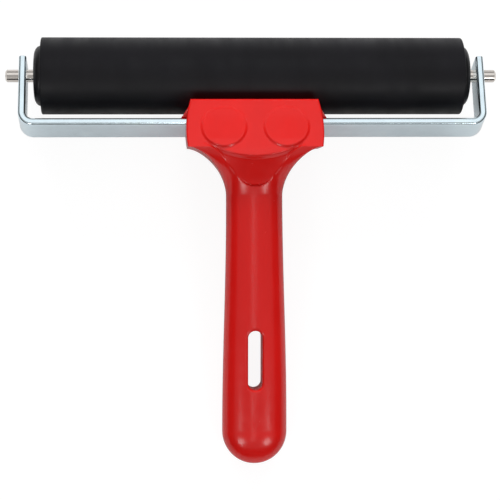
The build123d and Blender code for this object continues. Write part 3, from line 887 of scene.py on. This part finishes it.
def make_stage(scene):
    """White table, near-white surroundings, soft boxes, dark cards and the camera."""
    look = scene.brayer_stage
    table, camera = make_table(scene), make_camera(scene)
    world = bpy.data.worlds.new("white_room")
    scene.world = world
    world.use_nodes = True
    light_up_room(world.node_tree, look.room_light)
    back_box = soft_light("back_box", look.back_light, (1.2, 0.35), (0.0, 0.95, 0.42))
    back_box.visible_glossy = False
    panel_size, panel_place = (1.1, 0.7), (0.0, 0.6, 0.95)
    lamps = [
        back_box,
        soft_light("overhead_panel", look.panel_light, panel_size, panel_place, colour=COOL_WHITE),
        soft_light("left_box", look.front_light, (0.26, 0.26), (-0.42, -0.62, 0.68)),
        soft_light("right_box", look.front_light, (0.26, 0.26), (0.42, -0.62, 0.68)),
        soft_light("centre_strip", look.centre_light, (0.05, 0.9), (0.0, -0.25, 1.0), (0, -0.25, 0)),
    ]
    cards = [
        dark_card("front_card", 1.6, 0.37, (0.0, -0.6, 0.0)),
        dark_card("left_card", 1.2, 0.4, (-0.5, 0.0, 0.0), pi / 2),
        dark_card("right_card", 1.2, 0.4, (0.5, 0.0, 0.0), pi / 2),
    ]
    scene.view_settings.view_transform = "Standard"
    return [table, camera, *cards, *lamps]


# ---------------------------------------------------------------- settings
def size_in_mm(name, description, default):
    """A size in millimetres, never negative."""
    return number(name, description, default, min=0.0, soft_max=500.0)


def number(name, description, default, **kind):
    """A plain number, or a place in millimetres along S, H, Y or Z."""
    return bpy.props.FloatProperty(name=name, description=description, default=default, **kind)


def colour_of(name, description, default):
    """A colour in scene linear red, green and blue."""
    return bpy.props.FloatVectorProperty(
        name=name, description=description, default=default, subtype="COLOR", size=3, min=0.0, max=1.0
    )


def point_in_metres(name, description, default):
    """A point in the table frame."""
    return bpy.props.FloatVectorProperty(
        name=name, description=description, default=default, subtype="TRANSLATION", unit="LENGTH", size=3
    )


class BrayerHandle(bpy.types.PropertyGroup):
    """Sizes of the handle in millimetres, in the grip frame unless a name ends in y or z."""

    hood_start: number("Hood start", "S of the hood's front edge", 12.22)
    hood_middle: number("Hood middle", "S of the hood's widest section", 26.5)
    hood_back: number("Hood back", "S where the shoulders begin", 34.8)
    neck: number("Neck", "S of the narrowest section", 57.0)
    grip_end: number("Grip end", "S where the end's dome begins", 168.5)
    grip_dome: size_in_mm("Grip dome", "Length of the end's dome", 15.6)
    hood_front_width: size_in_mm("Hood front width", "Width along the front edge", 59.8)
    hood_width: size_in_mm("Hood width", "Width at the widest section", 64.0)
    hood_back_width: size_in_mm("Hood back width", "Width where the shoulders begin", 62.6)
    neck_width: size_in_mm("Neck width", "Width at the neck", 26.5)
    grip_width: size_in_mm("Grip width", "Width at the grip's end", 30.56)
    shoulder_power: number("Shoulder power", "Roundness of the shoulders' sweep", 1.7)
    face_front: number("Face front", "Height H of the face at its front edge", 21.19)
    floor_front: number("Floor front", "S where the underside begins", 24.46)
    floor_front_height: number("Floor front height", "H where the underside begins", -3.46)
    edge_round: size_in_mm("Edge round", "Radius of the hood's edges", 1.0)
    neck_height: number("Neck height", "H of the neck's centre", 14.05)
    neck_depth: size_in_mm("Neck depth", "Depth of the neck", 20.3)
    grip_depth: size_in_mm("Grip depth", "Depth of the grip's end", 20.5)
    grip_bow: size_in_mm("Grip bow", "Rise of the grip's middle line", 2.2)
    scoop_centre: number("Scoop centre", "S of the thumb scoop's centre", -5.3)
    scoop_tip: number("Scoop tip", "S where the scoop runs out", 53.1)
    scoop_reach: size_in_mm("Scoop reach", "Radius where the scoop's bell is level", 58.4)
    scoop_floor: number("Scoop floor", "H of the scoop where it runs out", 23.5)
    lip_drop: size_in_mm("Lip drop", "Height of the steep part under the lip", 1.3)
    lip_radius: size_in_mm("Lip radius", "Radius of the lip over the scoop", 44.0)
    pad_spacing: size_in_mm("Pad spacing", "Distance between the pads' centres", 29.0)
    pad_place: number("Pad place", "S of the pads' centres", 25.3)
    pad_width: size_in_mm("Pad width", "Diameter of a pad's flat", 19.0)
    pad_base_width: size_in_mm("Pad base width", "Diameter of a pad's foot", 22.4)
    pad_height: size_in_mm("Pad height", "Height of the pads", 0.9)
    slot_width: size_in_mm("Slot width", "Width of the hanging slot", 6.8)
    slot_length: size_in_mm("Slot length", "Length of the hanging slot", 28.0)
    slot_place: number("Slot place", "S of the slot's middle", 134.5)
    slot_rim: size_in_mm("Slot rim", "Radius of the slot's rims", 1.3)
    apron_width: size_in_mm("Apron width", "Width of the webs in front of the strip", 69.2)
    apron_shoulder: number("Apron shoulder z", "Height of the webs' shoulder", 8.6)
    apron_round: size_in_mm("Apron round", "Radius of the webs' edges", 0.6)
    apron_back_y: number("Apron back y", "Back of the webs, at the strip", -25.1)
    hood_front_y: number("Hood front y", "Front edge of the hood", -19.0)
    hood_face_z: number("Hood face z", "Height of the face's front edge", 15.4)
    hood_floor_z: number("Hood floor z", "Height of the hood's underside", -12.0)
    wall_lean: size_in_mm("Wall lean", "How far the front wall leans back below the face", 2.6)


class BrayerFrame(bpy.types.PropertyGroup):
    """Sizes of the bent strip in millimetres."""

    strip_width: size_in_mm("Strip width", "Width of the strip", 16.0)
    strip_thickness: size_in_mm("Strip thickness", "Thickness of the strip", 3.5)
    strip_round: size_in_mm("Strip round", "Radius of the strip's long edges", 1.1)
    strip_back: size_in_mm("Strip back", "Distance of the cross run's back face from the axis", 28.6)
    arm_span: size_in_mm("Arm span", "Distance between the arms' middle lines", 217.3)
    arm_tip: size_in_mm("Arm tip", "How far the arms pass the axis", 7.0)
    bend_radius: size_in_mm("Bend radius", "Middle-line radius of the bends", 5.25)


class BrayerRoller(bpy.types.PropertyGroup):
    """Sizes of the roller in millimetres."""

    rubber_length: size_in_mm("Rubber length", "Length of the rubber cover", 200.0)
    rubber_radius: size_in_mm("Rubber radius", "Outer radius of the rubber", 18.25)
    rubber_bore: size_in_mm("Rubber bore", "Bore of the rubber, outside of the tube", 14.25)
    rubber_round: size_in_mm("Rubber round", "Radius of the rubber's edges", 0.6)
    collar_length: size_in_mm("Collar length", "How far a cap stands out of the rubber", 3.4)
    collar_round: size_in_mm("Collar round", "How far in a cap's rim begins to round over", 4.2)
    plug_length: size_in_mm("Plug length", "Depth of a cap inside the tube", 14.0)
    plug_radius: size_in_mm("Plug radius", "Radius of a cap inside the tube", 12.75)
    cap_bore: size_in_mm("Cap bore", "Radius of the hole behind the bearing", 5.6)
    seat_radius: size_in_mm("Seat radius", "Radius of the bearing seat", 9.5)
    seat_depth: size_in_mm("Seat depth", "Depth of the bearing seat", 7.2)


class BrayerColours(bpy.types.PropertyGroup):
    """Base colours, scene linear."""

    handle_red: colour_of("Handle red", "Red of the moulded handle", (0.76, 0.009, 0.007))
    rubber_black: colour_of("Rubber black", "Black of the roller's rubber", (0.0045, 0.0042, 0.0060))
    zinc: colour_of("Zinc", "Tone of the plated strip", (0.80, 0.93, 0.99))
    axle_steel: colour_of("Axle steel", "Tone of the axle", (0.78, 0.73, 0.68))
    bearing_steel: colour_of("Bearing steel", "Tone of bearings and screws", (0.72, 0.72, 0.74))
    tube_aluminium: colour_of("Tube aluminium", "Tone of the core tube", (0.80, 0.81, 0.82))
    cap_black: colour_of("Cap black", "Black of the end caps", (0.007, 0.007, 0.008))


class BrayerStage(bpy.types.PropertyGroup):
    """Table, lights and camera."""

    floor_tone: number("Table tone", "Grey of the table", 0.9, min=0.0, max=1.0)
    room_light: number("Room light", "Strength of the surroundings", 0.42)
    back_light: number("Back light", "Power of the back box", 8.5, unit="POWER")
    panel_light: number("Panel light", "Power of the overhead panel", 1.4, unit="POWER")
    front_light: number("Front light", "Power of each front box", 1.45, unit="POWER")
    centre_light: number("Centre strip", "Power of the strip light", 0.36, unit="POWER")
    lens: number("Lens", "Focal length in millimetres", 129.08, unit="CAMERA")
    camera_place: point_in_metres("Camera place", "Where the camera stands", (-0.04641, -0.06587, 0.86429))
    camera_target: point_in_metres("Camera target", "What the camera looks at", (-0.00073, 0.00101, 0.0))
    camera_roll: number("Camera roll", "Turn about the line of sight", -0.0046, subtype="ANGLE")


GROUPS = {
    "brayer_handle": BrayerHandle,
    "brayer_frame": BrayerFrame,
    "brayer_roller": BrayerRoller,
    "brayer_colours": BrayerColours,
    "brayer_stage": BrayerStage,
}


# ---------------------------------------------------------------- operators and panel
def ended(step, pieces):
    """Ends a build step, or stops the script if the step made nothing."""
    if not pieces:
        raise RuntimeError(f"{step.bl_label} made nothing")
    return {"FINISHED"}


class BRAYER_OT_handle(bpy.types.Operator):
    """Build the red handle"""

    bl_idname = "brayer.handle"
    bl_label = "Handle"
    bl_options = {"REGISTER", "UNDO"}

    def execute(self, context):
        return ended(self, make_handle(context.scene))


class BRAYER_OT_apron(bpy.types.Operator):
    """Build the webs in front of the strip"""

    bl_idname = "brayer.apron"
    bl_label = "Front webs"
    bl_options = {"REGISTER", "UNDO"}

    def execute(self, context):
        return ended(self, make_apron_ears(context.scene))


class BRAYER_OT_strip(bpy.types.Operator):
    """Build the bent strip frame"""

    bl_idname = "brayer.strip"
    bl_label = "Strip frame"
    bl_options = {"REGISTER", "UNDO"}

    def execute(self, context):
        return ended(self, make_strip(context.scene))


class BRAYER_OT_rubber(bpy.types.Operator):
    """Build the roller's rubber cover"""

    bl_idname = "brayer.rubber"
    bl_label = "Rubber cover"
    bl_options = {"REGISTER", "UNDO"}

    def execute(self, context):
        return ended(self, make_rubber(context.scene))


class BRAYER_OT_caps(bpy.types.Operator):
    """Build the roller's end caps"""

    bl_idname = "brayer.caps"
    bl_label = "End caps"
    bl_options = {"REGISTER", "UNDO"}

    def execute(self, context):
        return ended(self, make_caps(context.scene))


class BRAYER_OT_metal(bpy.types.Operator):
    """Finish the axle, bearings, screws and the other kept parts"""

    bl_idname = "brayer.metal"
    bl_label = "Axle and bearings"
    bl_options = {"REGISTER", "UNDO"}

    def execute(self, context):
        return ended(self, finish_kept_nodes(context.scene))


class BRAYER_OT_stage(bpy.types.Operator):
    """Set the table, lights and camera"""

    bl_idname = "brayer.stage"
    bl_label = "Stage"
    bl_options = {"REGISTER", "UNDO"}

    def execute(self, context):
        return ended(self, make_stage(context.scene))


STEPS = (
    BRAYER_OT_handle,
    BRAYER_OT_apron,
    BRAYER_OT_strip,
    BRAYER_OT_rubber,
    BRAYER_OT_caps,
    BRAYER_OT_metal,
    BRAYER_OT_stage,
)


class BRAYER_PT_panel(bpy.types.Panel):
    """Lists the build steps"""

    bl_idname = "BRAYER_PT_panel"
    bl_label = "Rubber brayer"
    bl_space_type = "VIEW_3D"
    bl_region_type = "UI"
    bl_category = "Brayer"

    def draw(self, context):
        for step in STEPS:
            self.layout.operator(step.bl_idname)
        for name in GROUPS:
            group = getattr(context.scene, name)
            box = self.layout.box()
            box.label(text=name.replace("_", " "))
            for key in group.__annotations__:
                box.prop(group, key)


def register():
    """Registers settings, build steps and panel, and hangs the settings on the scene."""
    for name, group in GROUPS.items():
        bpy.utils.register_class(group)
        setattr(bpy.types.Scene, name, bpy.props.PointerProperty(type=group))
    for item in (*STEPS, BRAYER_PT_panel):
        bpy.utils.register_class(item)


def unregister():
    """Takes back what register did, in the opposite order."""
    for item in (BRAYER_PT_panel, *reversed(STEPS)):
        bpy.utils.unregister_class(item)
    for name, group in GROUPS.items():
        delattr(bpy.types.Scene, name)
        bpy.utils.unregister_class(group)


def main():
    """Builds everything in order."""
    register()
    for step in STEPS:
        group, name = step.bl_idname.split(".")
        getattr(getattr(bpy.ops, group), name)()


if __name__ == "__main__":
    main()
